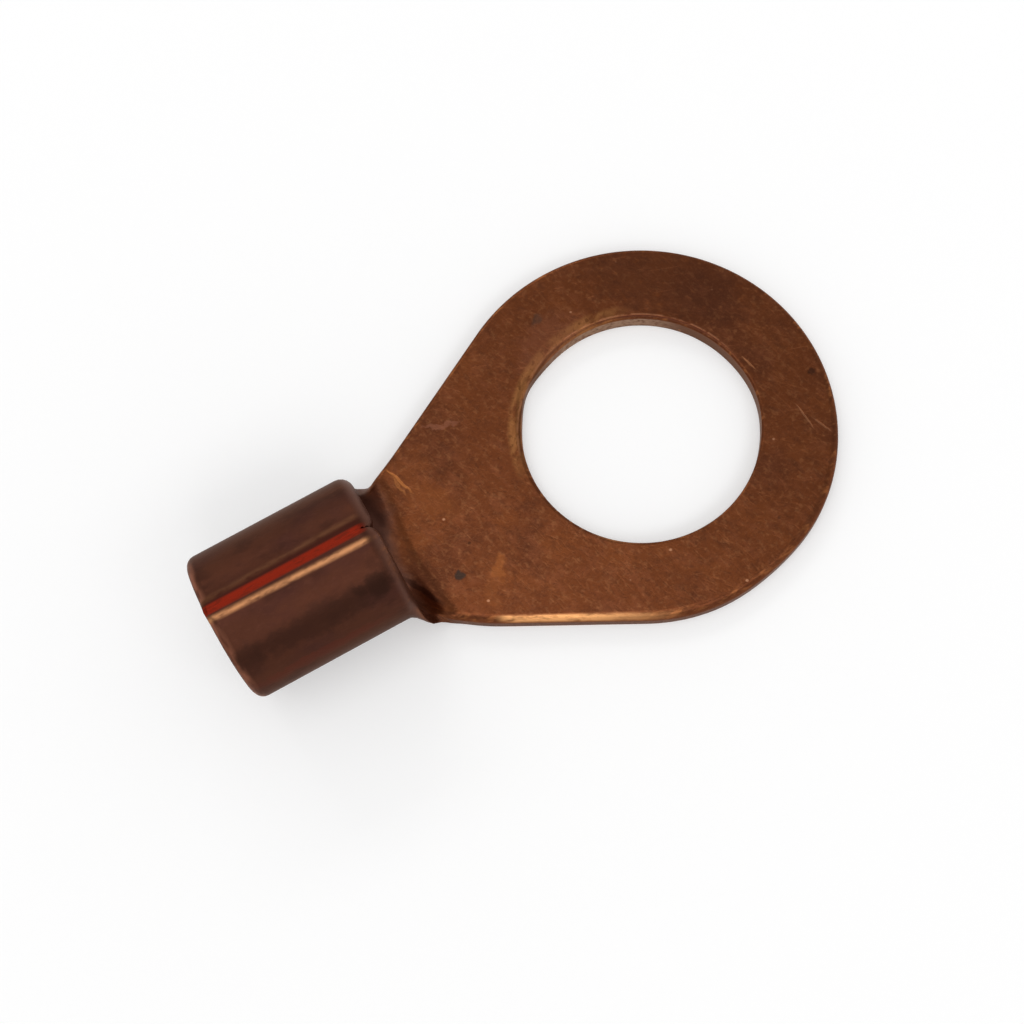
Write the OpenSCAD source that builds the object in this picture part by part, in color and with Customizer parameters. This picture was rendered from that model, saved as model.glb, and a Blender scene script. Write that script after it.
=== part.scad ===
// Ring cable lug, stamped and rolled from one piece of copper sheet.
// A round tongue with a stud hole narrows to a neck. There the sheet steps up and curls
// until its two edges meet on top and form the wire barrel, whose seam stays open.
// Frame: +Z up, the origin at the stud hole's centre on the tongue's underside,
// the barrel towards -X, the tip of the ring towards +X. All sizes are in millimetres.

/* [Sheet] */
// Thickness of the copper sheet
sheet_t = 1.5; // [1:0.1:2]
// Radius left on the tongue's upper edges by the stamping die
edge_round = 0.45; // [0.1:0.05:0.6]

/* [Ring tongue] */
// Outside diameter of the ring
ring_d = 28; // [26:0.5:32]
// Diameter of the stud hole
hole_d = 17; // [8:0.5:20]

/* [Neck] */
// Distance from the stud hole's centre to the barrel's front edge
neck_reach = 20; // [19.5:0.1:26]
// Width of the flat blank at the foot of the barrel
neck_w = 10; // [8:0.1:11]
// Radius in the corner between the blank's neck and the barrel's front edge
neck_fillet = 0.8; // [0.6:0.1:2]
// Length of neck over which the sheet turns from flat to fully rolled
roll_len = 3.2; // [2.5:0.1:5]
// How long the sheet stays flat before it curls: 1 curls it evenly, more curls it late
roll_delay = 1.6; // [1:0.1:2.5]
// Length of the step between the tongue's level and the barrel's
step_len = 1.7; // [1.4:0.1:3]
// Height of that step
step_rise = 1.1; // [0:0.1:2]

/* [Barrel] */
// Bore that takes the stripped wire
bore_d = 7.5; // [6:0.1:9]
// Length of the barrel
barrel_len = 12.2; // [7:0.1:16]
// Gap between the rolled sheet's edges at the seam
seam_gap = 0.15; // [0.1:0.05:0.6]
// Outer radius on each of the seam's two lips
lip_round = 0.8; // [0.2:0.05:0.9]
// Outer radius round the open mouth
mouth_round = 0.7; // [0.2:0.05:0.9]
// Inner radius round the open mouth, which lets the strands in
mouth_lead = 0.4; // [0.1:0.05:0.45]
// Outer radius round the barrel's front edge
front_round = 0.75; // [0.2:0.05:0.9]

/* [Hidden] */
$fn = 96;

// The neck's skin lies this far inside the tongue and the barrel, and runs this far into
// each, so that the three overlap cleanly.
lap = 0.02;
lap_len = 0.4;
// Length by which a cutting shape passes the face that it cuts.
past = 1;
// Slices along the neck's straight part and round its fillet, and points across it.
flat_slices = 10;
fillet_slices = 10;
across = 30;
corner_steps = 3;
lip_steps = 8;

ring_r = ring_d / 2;
bore_r = bore_d / 2;
barrel_r = bore_r + sheet_t;
roll_r = bore_r + sheet_t / 2;
axis_z = step_rise + barrel_r;
half_neck = neck_w / 2;

// The tongue's straight sides run from the ring to the foot of the barrel. They lie a lap
// inside the ring's tangents, so that each crosses the ring's edge at a clear angle.
side_r = ring_r - lap;
foot_dist = norm([neck_reach, half_neck]);
side_angle = 180 - atan2(half_neck, neck_reach) - acos(side_r / foot_dist);
roll_start = neck_reach - roll_len;

// Half width of the flat blank on its straight side, at distance d from the hole's centre.
function side_w(d) = (side_r + d * cos(side_angle)) / sin(side_angle);

// The fillet touches the straight side and the barrel's front edge.
fillet_d = neck_reach - neck_fillet;
fillet_w = (side_r + neck_fillet + fillet_d * cos(side_angle)) / sin(side_angle);

// The neck's slices, each as [distance from the hole's centre, half width of the blank].
side_end = fillet_d + neck_fillet * cos(side_angle);
straight_part = [
    for (i = [0 : flat_slices - 1])
        let (d = roll_start + (side_end - roll_start) * i / flat_slices) [d, side_w(d)]
];
fillet_part = [
    for (i = [0 : fillet_slices])
        let (a = side_angle * (1 - i / fillet_slices))
            [fillet_d + neck_fillet * cos(a), fillet_w - neck_fillet * sin(a)]
];
lap_in = [[roll_start - lap_len, side_w(roll_start - lap_len)]];
lap_out = [[neck_reach + front_round + lap_len, fillet_w]];
slices = concat(lap_in, straight_part, fillet_part, lap_out);

// A ramp from 0 to 1 that starts and ends level.
function ramp(v) = let (u = min(1, max(0, v))) u * u * (3 - 2 * u);

// The sheet's curl and its level, at distance d from the hole's centre.
function curl(d) = pow(ramp((d - roll_start) / roll_len), roll_delay) / roll_r;
function level(d) = step_rise * ramp((d - neck_reach + step_len) / step_len);

// The point at distance s round the sheet's middle, and n above it, in the slice at d.
function sheet_point(d, s, n) =
    let (k = curl(d), turn = s * k * 180 / PI, base = level(d) + sheet_t / 2)
        k < 0.0001
            ? [-d, s, base + n]
            : [-d, (1 / k - n) * sin(turn), base + 1 / k - (1 / k - n) * cos(turn)];

// Across a slice, each column joins a point of the upper face to one of the underside. It is
// [distance round the sheet, upper height, lower height], and the end ones round the edges.
function column(s, flat) =
    let (n = sheet_t / 2 - lap, into = max(0, abs(s) - (flat - edge_round)))
        [s, n - edge_round + sqrt(max(0, edge_round * edge_round - into * into)), -n];
function column_places(flat) = concat(
    [for (i = [corner_steps : -1 : 1]) (edge_round - flat) - edge_round * sin(90 * i / corner_steps)],
    [for (i = [0 : across]) (flat - edge_round) * (2 * i / across - 1)],
    [for (i = [1 : corner_steps]) (flat - edge_round) + edge_round * sin(90 * i / corner_steps)]
);

// What is left outside a rounded corner of radius r, with its square corner at the origin.
module corner_waste(r) {
    difference() {
        translate([-r, -r]) square(r + past);
        translate([-r, -r]) circle(r = r);
        translate([-2 * r, -2 * r]) square([r, 3 * r + past]);
        translate([-2 * r, -2 * r]) square([3 * r + past, r]);
    }
}

module ring() {
    rotate_extrude()
        difference() {
            square([ring_r, sheet_t]);
            translate([ring_r, sheet_t]) corner_waste(edge_round);
        }
}

// The flat web between the ring and the neck.
module web() {
    touch = side_r * [cos(side_angle), sin(side_angle)];
    root = [-roll_start, side_w(roll_start)];
    side_len = norm(root - touch);
    difference() {
        linear_extrude(sheet_t)
            polygon([touch, root, [root.x, -root.y], [touch.x, -touch.y]]);
        for (side = [0, 1])
            mirror([0, side, 0])
                rotate([0, 0, side_angle])
                    translate([side_r, side_len + past, sheet_t])
                        rotate([90, 0, 0])
                            linear_extrude(side_len + 2 * past) corner_waste(edge_round);
    }
}

module stud_hole() {
    translate([0, 0, -past]) cylinder(d = hole_d, h = sheet_t + 2 * past);
    rotate_extrude()
        translate([hole_d / 2, sheet_t]) mirror([1, 0]) corner_waste(edge_round);
}

module tongue() {
    difference() {
        union() {
            ring();
            web();
        }
        stud_hole();
    }
}

// The points of one slice: its underside and then its upper face, both from -Y to +Y.
function slice_points(slice) =
    let (flat = slice[1] - lap, columns = [for (s = column_places(flat)) column(s, flat)])
        concat(
            [for (c = columns) sheet_point(slice[0], c[0], c[2])],
            [for (c = columns) sheet_point(slice[0], c[0], c[1])]
        );

// Two triangles on four corners.
function quad(a, b, c, d) = [[a, b, c], [a, c, d]];

module neck() {
    cols = across + 1 + 2 * corner_steps;
    ring = 2 * cols;
    last = (len(slices) - 1) * ring;
    skin = [
        for (j = [0 : len(slices) - 2])
            for (i = [0 : cols - 2])
                let (u = j * ring + i, v = u + cols)
                    each concat(
                        quad(u, u + 1, u + ring + 1, u + ring),
                        quad(v, v + ring, v + ring + 1, v + 1)
                    )
    ];
    sides = [
        for (j = [0 : len(slices) - 2])
            let (u = j * ring, v = u + cols - 1)
                each concat(
                    quad(u, u + ring, u + ring + cols, u + cols),
                    quad(v, v + cols, v + ring + cols, v + ring)
                )
    ];
    caps = [
        for (i = [0 : cols - 2])
            each concat(
                quad(i, i + cols, i + cols + 1, i + 1),
                quad(last + i, last + i + 1, last + i + cols + 1, last + i + cols)
            )
    ];
    polyhedron(
        points = [for (slice = slices) each slice_points(slice)],
        faces = concat(skin, sides, caps),
        convexity = 6
    );
}

// Half of the wall's section beside the bore, from the barrel's front to its mouth.
module wall_section() {
    difference() {
        translate([bore_r, 0]) square([sheet_t, barrel_len]);
        translate([barrel_r, barrel_len]) corner_waste(mouth_round);
        translate([bore_r, barrel_len]) mirror([1, 0]) corner_waste(mouth_lead);
        translate([barrel_r, 0]) mirror([0, 1]) corner_waste(front_round);
    }
}

// The open seam: a narrow gap between two rounded lips, seen along the barrel.
module seam_outline() {
    half_gap = seam_gap / 2;
    lip_y = half_gap + lip_round;
    lip_x = sqrt(pow(barrel_r - lip_round, 2) - lip_y * lip_y);
    crown = atan2(lip_y, lip_x);
    lip = [
        for (i = [0 : lip_steps])
            let (a = crown - (crown + 90) * i / lip_steps)
                [lip_x + lip_round * cos(a), lip_y + lip_round * sin(a)]
    ];
    side = concat(
        [(barrel_r + past) * [cos(crown), sin(crown)]],
        lip,
        [[bore_r - past, half_gap]]
    );
    polygon(concat(side, [for (i = [len(side) - 1 : -1 : 0]) [side[i].x, -side[i].y]]));
}

module barrel() {
    translate([-neck_reach, 0, axis_z])
        rotate([0, -90, 0])
            difference() {
                rotate_extrude() wall_section();
                translate([0, 0, -past])
                    linear_extrude(barrel_len + 2 * past) seam_outline();
            }
}

module cable_lug() {
    color("#9c5a3c")
        union() {
            tongue();
            neck();
            barrel();
        }
}

cable_lug();
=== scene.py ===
"""Looks of a bare copper ring cable lug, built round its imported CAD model.

The lug starts as the flat blank that the press cuts out of copper sheet. A node tree then
steps and rolls the blank into the neck and the wire barrel, as the second tool does. One
layered copper finish covers it. All sizes below are in millimetres unless a name says metres.
"""

import logging
import math
from dataclasses import dataclass
from enum import Enum
from typing import Any, Mapping, Sequence

import bpy
import numpy as np
from mathutils import Matrix, Vector
from mathutils.geometry import delaunay_2d_cdt


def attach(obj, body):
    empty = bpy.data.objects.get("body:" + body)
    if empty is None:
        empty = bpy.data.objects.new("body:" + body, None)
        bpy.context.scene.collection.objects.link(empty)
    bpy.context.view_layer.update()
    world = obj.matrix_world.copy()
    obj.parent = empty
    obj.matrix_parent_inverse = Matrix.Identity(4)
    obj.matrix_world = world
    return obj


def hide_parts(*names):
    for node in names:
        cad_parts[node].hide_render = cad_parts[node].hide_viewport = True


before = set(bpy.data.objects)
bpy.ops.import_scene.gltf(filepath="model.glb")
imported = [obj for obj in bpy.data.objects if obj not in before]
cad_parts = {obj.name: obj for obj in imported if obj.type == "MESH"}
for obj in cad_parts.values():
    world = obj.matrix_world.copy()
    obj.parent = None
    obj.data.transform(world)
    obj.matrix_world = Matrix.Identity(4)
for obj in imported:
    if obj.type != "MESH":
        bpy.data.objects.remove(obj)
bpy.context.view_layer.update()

# The size, place and spread of one soft bump.
Bump = tuple[float, float, float]

LOG = logging.getLogger("cable_lug")
FILM_ROUGHNESS = 0.31
MM = 0.001
CAD_NODE = "cable_lug"
BODY = "root"


def linear(colour: str) -> tuple[float, float, float, float]:
    """Turns an sRGB hex colour to linear values.

    Args:
        colour: The colour as "#rrggbb".

    Returns:
        Linear red, green and blue, and an alpha of 1.
    """
    parts = [int(colour[i : i + 2], 16) / 255 for i in (1, 3, 5)]
    red, green, blue = (
        c / 12.92 if c <= 0.04045 else ((c + 0.055) / 1.055) ** 2.4 for c in parts
    )
    return red, green, blue, 1.0


def place_object(name: str, data: bpy.types.ID) -> bpy.types.Object:
    """Makes an object and puts it in the scene.

    Args:
        name: Its name.
        data: Its mesh, lamp or camera.

    Returns:
        The object.
    """
    made = bpy.data.objects.new(name, data)
    bpy.context.scene.collection.objects.link(made)
    return made


def cleared_tree(owner: bpy.types.Material | bpy.types.World) -> bpy.types.NodeTree:
    """Gives a new material or world an empty node tree.

    Args:
        owner: The material or world.

    Returns:
        Its tree.
    """
    owner.use_nodes = True
    owner.node_tree.nodes.clear()
    return owner.node_tree


def add_node(
    tree: bpy.types.NodeTree,
    kind: str,
    inputs: Mapping[str | int, Any] | None = None,
    **settings: Any,
) -> bpy.types.Node:
    """Adds a node with its settings and links.

    Args:
        tree: The tree to add it to.
        kind: The node's type name.
        inputs: For each input, by name or number, a socket or a node to link, or a value.
        settings: The node's own properties.

    Returns:
        The new node.
    """
    node = tree.nodes.new(kind)
    for name, value in settings.items():
        setattr(node, name, value)
    for key, value in (inputs or {}).items():
        if isinstance(value, bpy.types.Node):
            value = next(out for out in value.outputs if out.enabled)
        if isinstance(value, bpy.types.NodeSocket):
            tree.links.new(value, node.inputs[key])
        else:
            node.inputs[key].default_value = value
    return node


def add_terms(
    tree: bpy.types.NodeTree, term: dict[str, Any], rows: Sequence[tuple[Any, ...]]
) -> None:
    """Adds a table of named sums, each worked out from the ones before it.

    Args:
        tree: The tree to add the nodes to.
        term: The values known so far, by name, to which each row adds its own.
        rows: Each row is a name, an operation and its parts, which are names or numbers.
            The operation RAMP goes from 0 to 1 between its second and third part, and
            starts and ends level.
    """
    for name, operation, *parts in rows:
        values = dict(enumerate(term.get(part, part) for part in parts))
        if operation == "RAMP":
            term[name] = add_node(
                tree, "ShaderNodeMapRange", values, interpolation_type="SMOOTHSTEP"
            )
        else:
            term[name] = add_node(tree, "ShaderNodeMath", values, operation=operation)


@dataclass(frozen=True)
class EdgeRound:
    """Radii left on one edge of the sheet.

    Args:
        upper: Radius on the upper face, which becomes the barrel's inside.
        under: Radius on the underside, which becomes the barrel's outside.
    """

    upper: float
    under: float


@dataclass(frozen=True)
class RimPoint:
    """A point on the blank's rim.

    Args:
        x: Place along the lug.
        y: Place across the lug.
        edge: The radii that the sheet's edge has here.
    """

    x: float
    y: float
    edge: EdgeRound


def swell(angle: float, bump: Bump) -> float:
    """Works out a bump on a circle.

    Args:
        angle: A direction, in degrees.
        bump: The bump's size, with its direction and spread in degrees.

    Returns:
        What the bump adds in that direction.
    """
    size, at, spread = bump
    off = (angle - at + 180) % 360 - 180
    return size * math.exp(-((off / spread) ** 2))


class Edge(Enum):
    """The blank's edges, each with the radii that the tools leave on it."""

    TONGUE = EdgeRound(0.45, 0.08)
    FRONT = EdgeRound(0.14, 0.95)
    LIP = EdgeRound(0.10, 1.00)
    MOUTH = EdgeRound(0.40, 0.70)
    HOLE = EdgeRound(0.18, 0.08)


@dataclass(frozen=True)
class Blank:
    """The flat blank, as the press leaves it: its upper face up, its middle at height 0."""

    sheet_t: float = 1.5
    ring_r: float = 13.995
    hole_r: float = 8.5
    # From the hole's centre to the barrel's front edge.
    neck_reach: float = 20.0
    half_neck: float = 5.1
    neck_fillet: float = 0.8
    barrel_len: float = 12.2
    # Radius of the sheet's middle in the rolled barrel.
    roll_r: float = 4.5
    # How far each wing stops short of the seam: below 0, the wings press. The clear gap is
    # what is left between the pressed lips on each side.
    half_gap: float = -0.42
    clear_gap: float = 0.001
    # Radii of the wings' corners at the barrel's front and at its mouth.
    front_corner: float = 1.2
    mouth_corner: float = 0.4
    # Pushes of the neck's near and far sides to -Y, and how far across they reach.
    near_shifts: tuple[Bump, ...] = ((0.86, -20.3, 0.8), (-0.42, -18.4, 1.6))
    far_shifts: tuple[Bump, ...] = ((0.6, -20.1, 1.05), (-0.12, -18.2, 1.1))
    neck_shift_width: float = 8.5
    # Distance between the mesh's points, steps round a small radius, and the width of the
    # strip beside each rounded edge that keeps the faces flat.
    spacing: float = 0.3
    arc_steps: int = 5
    support: float = 0.04
    # Points on each side over which two edges' radii blend, the share of the room inside a
    # corner that they may take, and the spacings that a face's points keep from its rim.
    blend_reach: int = 2
    corner_room: float = 0.78
    rim_clearance: float = 0.6
    # How much more the die rounds the rim on the -Y side.
    die_bias: float = 0.18
    # Where on an upper edge's rounding the rub, and the painted highlight laid on it, are
    # strongest: 1 is halfway, less is higher up.
    rub_and_highlight_skew: float = 0.7
    # What wear adds to the radius of the hole's edge, the knock in the ring's rim and the
    # dents in the hole's, each with its direction and spread in degrees.
    hole_wear: Bump = (0.35, 128.0, 45.0)
    knock: Bump = (0.2, -77.0, 16.0)
    hole_dents: tuple[Bump, ...] = ((0.24, 130.0, 12.0), (0.13, -14.0, 20.0))

    @property
    def wing(self) -> float:
        """Half width of the blank where it becomes the barrel."""
        return math.pi * self.roll_r - self.half_gap

    @property
    def side_angle(self) -> float:
        """Direction, from the hole's centre, in which the ring meets its straight side."""
        foot = math.hypot(self.neck_reach, self.half_neck)
        return (
            math.pi
            - math.atan2(self.half_neck, self.neck_reach)
            - math.acos(self.ring_r / foot)
        )

    def half_rim(self) -> list[RimPoint]:
        """Follows the rim from the ring's tip to the middle of the mouth, on the +Y side.

        Returns:
            The rim's points, about one spacing apart.
        """
        side = self.side_angle
        fillet_d = self.neck_reach - self.neck_fillet
        fillet_w = (self.ring_r + self.neck_fillet + fillet_d * math.cos(side)) / math.sin(side)
        front, mouth = -self.neck_reach, -self.neck_reach - self.barrel_len
        fore, aft = self.front_corner, self.mouth_corner
        points: list[RimPoint] = []

        def arc(cx: float, cy: float, r: float, a: float, b: float, edge: Edge) -> None:
            """Adds an arc, all but its last point.

            Args:
                cx: Place of its centre along the lug.
                cy: Place of its centre across it.
                r: Its radius.
                a: The angle at which it starts.
                b: The angle at which it ends.
                edge: The edge that it is part of.
            """
            steps = max(self.arc_steps, round(r * abs(b - a) / self.spacing))
            for i in range(steps):
                turn = a + (b - a) * i / steps
                x, y = cx + r * math.cos(turn), cy + r * math.sin(turn)
                points.append(RimPoint(x, y, edge.value))

        def line(ax: float, ay: float, bx: float, by: float, edge: Edge) -> None:
            """Adds a straight stretch, all but its last point.

            Args:
                ax: Place of its start along the lug.
                ay: Place of its start across it.
                bx: Place of its end along the lug.
                by: Place of its end across it.
                edge: The edge that it is part of.
            """
            steps = max(1, round(math.hypot(bx - ax, by - ay) / self.spacing))
            for t in (i / steps for i in range(steps)):
                points.append(RimPoint(ax + (bx - ax) * t, ay + (by - ay) * t, edge.value))

        arc(0, 0, self.ring_r, 0, side, Edge.TONGUE)
        line(
            self.ring_r * math.cos(side),
            self.ring_r * math.sin(side),
            -fillet_d - self.neck_fillet * math.cos(side),
            fillet_w - self.neck_fillet * math.sin(side),
            Edge.TONGUE,
        )
        arc(-fillet_d, fillet_w, self.neck_fillet, side + math.pi, math.pi, Edge.TONGUE)
        line(front, fillet_w, front, self.wing - fore, Edge.FRONT)
        arc(front - fore, self.wing - fore, fore, 0, math.pi / 2, Edge.LIP)
        line(front - fore, self.wing, mouth + aft, self.wing, Edge.LIP)
        arc(mouth + aft, self.wing - aft, aft, math.pi / 2, math.pi, Edge.LIP)
        line(mouth, self.wing - aft, mouth, 0, Edge.MOUTH)
        return points

    def rim(self) -> list[RimPoint]:
        """Closes the rim round both sides and blends its radii.

        Returns:
            The whole rim's points, with the knock on the ring and the neck pushed aside.
        """
        half = self.half_rim()
        mouth = RimPoint(-self.neck_reach - self.barrel_len, 0, Edge.MOUTH.value)
        other = [RimPoint(p.x, -p.y, p.edge) for p in reversed(half[1:])]
        points = [*half, mouth, *other]
        count = len(points)
        blended = []
        corners = (
            (self.front_corner, -self.neck_reach - self.front_corner),
            (self.mouth_corner, self.mouth_corner - self.neck_reach - self.barrel_len),
        )
        for i, p in enumerate(points):
            near = range(i - self.blend_reach, i + self.blend_reach + 1)
            upper = sum(points[k % count].edge.upper for k in near) / len(near)
            under = sum(points[k % count].edge.under for k in near) / len(near)
            scale = 1.0
            if p.x > -self.ring_r / 2:
                scale -= swell(math.degrees(math.atan2(p.y, p.x)), self.knock) / self.ring_r
            if p.x > -self.neck_reach:
                upper -= self.die_bias * p.y / self.ring_r
            for radius, end in corners:
                centre = (end, self.wing - radius)
                if abs(p.y) > centre[1] - self.sheet_t:
                    room = self.corner_room * math.dist((p.x, abs(p.y)), centre)
                    upper, under = min(upper, room), min(under, room)
            shift = math.exp(-((p.y / self.neck_shift_width) ** 4)) * sum(
                size * math.exp(-(((p.x - at) / spread) ** 2))
                for size, at, spread in (self.near_shifts if p.y < 0 else self.far_shifts)
            )
            edge = EdgeRound(upper, under)
            blended.append(RimPoint(p.x * scale, p.y * scale - shift, edge))
        return blended

    def hole(self) -> list[RimPoint]:
        """Follows the stud hole, with its edge drawn down wider on one side.

        Returns:
            The hole's points, which run the other way round from the rim's.
        """
        steps = round(2 * math.pi * self.hole_r / self.spacing)
        points = []
        for i in range(steps):
            angle = -2 * math.pi * i / steps
            way = math.degrees(angle)
            radius = self.hole_r + sum(swell(way, dent) for dent in self.hole_dents)
            worn = Edge.HOLE.value.upper + swell(way, self.hole_wear)
            edge = EdgeRound(worn, Edge.HOLE.value.under)
            points.append(RimPoint(radius * math.cos(angle), radius * math.sin(angle), edge))
        return points

    def profile(self, edge: EdgeRound) -> list[tuple[float, float, float, float]]:
        """Goes over the sheet's edge from its upper face to its underside.

        Args:
            edge: The edge's radii.

        Returns:
            For each point, how far inside the rim it lies, its height, how worn it is, and
            how much of the press's shear marks it shows.
        """
        upper, under, top = edge.upper, edge.under, self.sheet_t / 2
        turns = [math.pi / 2 * i / self.arc_steps for i in range(self.arc_steps + 1)]
        over = [
            (
                upper * (1 - math.sin(t)),
                top - upper * (1 - math.cos(t)),
                math.sin(math.pi * (2 * t / math.pi) ** self.rub_and_highlight_skew),
                0.0,
            )
            for t in turns
        ]
        below = [
            (under * (1 - math.cos(t)), under * (1 - math.sin(t)) - top, math.sin(2 * t), 0.0)
            for t in turns
        ]
        wall_top = (0.0, top - upper - self.support, 0.0, 1.0)
        wall_foot = (0.0, under + self.support - top, 0.0, 1.0)
        return [
            (upper + self.support, top, 0.0, 0.0),
            *over,
            wall_top,
            wall_foot,
            *below,
            (under + self.support, -top, 0.0, 0.0),
        ]

    @staticmethod
    def inside(points: np.ndarray, loop: np.ndarray) -> np.ndarray:
        """Tells which points lie inside a closed loop.

        Args:
            points: An array of x and y.
            loop: The loop's corners, as an array of x and y.

        Returns:
            For each point, whether the loop goes round it.
        """
        found = np.zeros(len(points), dtype=bool)
        for (ax, ay), (bx, by) in zip(loop, np.roll(loop, -1, axis=0)):
            if ay != by:
                crosses = (ay > points[:, 1]) != (by > points[:, 1])
                at = ax + (points[:, 1] - ay) / (by - ay) * (bx - ax)
                found ^= crosses & (points[:, 0] < at)
        return found

    def face_grid(self, loops: Sequence[np.ndarray]) -> np.ndarray:
        """Spreads points over one face of the sheet, clear of its boundary.

        Args:
            loops: The face's boundary loops, the outer one first, each an array of points.

        Returns:
            The points, as an array of x and y.
        """
        outer = loops[0]
        low, high = outer.min(axis=0), outer.max(axis=0)
        xs = np.arange(low[0], high[0], self.spacing)
        rows = []
        for i, x in enumerate(xs):
            ys = np.arange(low[1] + (i % 2) * self.spacing / 2, high[1], self.spacing)
            rows.append(np.stack([np.full_like(ys, x), ys], axis=1))
        grid = np.concatenate(rows)
        keep = np.ones(len(grid), dtype=bool)
        for number, loop in enumerate(loops):
            clear = np.full(len(grid), np.inf)
            for x, y in loop:
                clear = np.minimum(clear, (grid[:, 0] - x) ** 2 + (grid[:, 1] - y) ** 2)
            inside = self.inside(grid, loop)
            far_enough = clear > (self.rim_clearance * self.spacing) ** 2
            keep &= (inside if number == 0 else ~inside) & far_enough
        return grid[keep]

    def mesh(self) -> bpy.types.Mesh:
        """Builds the blank as one closed mesh, in metres.

        Returns:
            A mesh with three point attributes: flat, its place on the sheet in millimetres,
            wear, how far handling has rubbed it, which also places painted highlights and shade
            on the edges, and sheared, where the press cut it, which also places painted shade
            and light on the cut walls.
        """
        verts: list[tuple[float, float, float]] = []
        worn: list[tuple[float, float]] = []
        faces: list[tuple[int, ...]] = []
        face_loops: tuple[list[list[int]], ...] = ([], [])
        for rim in (self.rim(), self.hole()):
            count = len(rim)
            rings: list[list[int]] = []
            profiles = []
            for i, p in enumerate(rim):
                before, after = rim[i - 1], rim[(i + 1) % count]
                along = Vector((after.x - before.x, after.y - before.y)).normalized()
                profiles.append((p, Vector((-along.y, along.x)), self.profile(p.edge)))
            for j in range(len(profiles[0][2])):
                loop = []
                for p, inward, profile in profiles:
                    inset, height, *marked = profile[j]
                    loop.append(len(verts))
                    verts.append((p.x + inward.x * inset, p.y + inward.y * inset, height))
                    worn.append(tuple(marked))
                if rings:
                    last = rings[-1]
                    faces += [
                        (last[i], loop[i], loop[(i + 1) % count], last[(i + 1) % count])
                        for i in range(count)
                    ]
                rings.append(loop)
            face_loops[0].append(rings[0])
            face_loops[1].append(rings[-1])
        for underside, loops in enumerate(face_loops):
            height = verts[loops[0][0]][2]
            bounds = [np.array([verts[i][:2] for i in loop]) for loop in loops]
            inner = self.face_grid(bounds)
            indices = [i for loop in loops for i in loop]
            for x, y in inner:
                indices.append(len(verts))
                verts.append((float(x), float(y), height))
                worn.append((0.0, 0.0))
            edges, start = [], 0
            for loop in loops:
                size = len(loop)
                edges += [(start + i, start + (i + 1) % size) for i in range(size)]
                start += size
            flat = [Vector(verts[i][:2]) for i in indices]
            # Output type 1 keeps the triangles inside the outer loop. Those in the hole go next.
            _, _, triangles, origin, _, _ = delaunay_2d_cdt(flat, edges, [], 1, 1e-6)
            middles = np.array(
                [np.mean([flat[origin[i][0]] for i in t], axis=0) for t in triangles]
            )
            keep = ~self.inside(middles, bounds[1])
            for triangle, kept in zip(triangles, keep):
                corners = [indices[origin[i][0]] for i in triangle]
                if kept:
                    faces.append(tuple(reversed(corners)) if underside else tuple(corners))
        mesh = bpy.data.meshes.new("lug_blank")
        mesh.from_pydata([(x * MM, y * MM, z * MM) for x, y, z in verts], [], faces)
        mesh.attributes.new("flat", "FLOAT_VECTOR", "POINT").data.foreach_set(
            "vector", [c for v in verts for c in v]
        )
        for name, values in zip(("wear", "sheared"), zip(*worn)):
            mesh.attributes.new(name, "FLOAT", "POINT").data.foreach_set("value", values)
        mesh.validate()
        return mesh


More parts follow.
